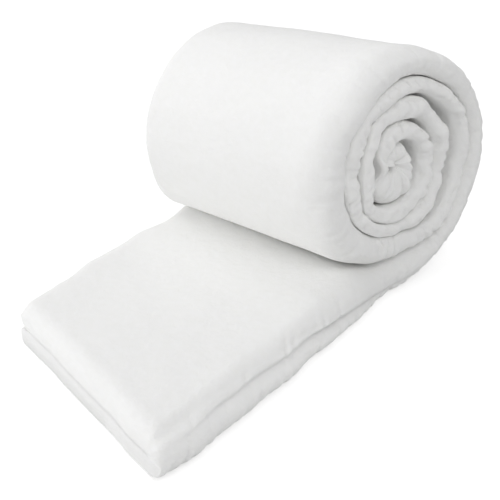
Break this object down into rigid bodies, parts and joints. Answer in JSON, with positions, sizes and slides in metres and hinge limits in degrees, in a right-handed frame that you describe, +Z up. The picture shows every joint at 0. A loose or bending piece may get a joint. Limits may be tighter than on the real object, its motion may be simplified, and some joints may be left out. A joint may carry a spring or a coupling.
{
  "type": "roll of polyester batting",
  "caption": "Thick soft white batting sheet, folded in half along its length and rolled up, with its free end lying flat in front.",
  "frame": {"origin": "middle of the bounding box at floor level", "axes": "+Z up, X along the roll's axis with the folded edge at +X and the raw edges at -X, the flat tail towards -Y"},
  "size_m": [0.607, 0.9238, 0.4884],
  "materials": {
    "batting": "soft matte fibre"
  },
  "bodies": {
    "root": {"batting": "batting"}
  },
  "joints": []
}
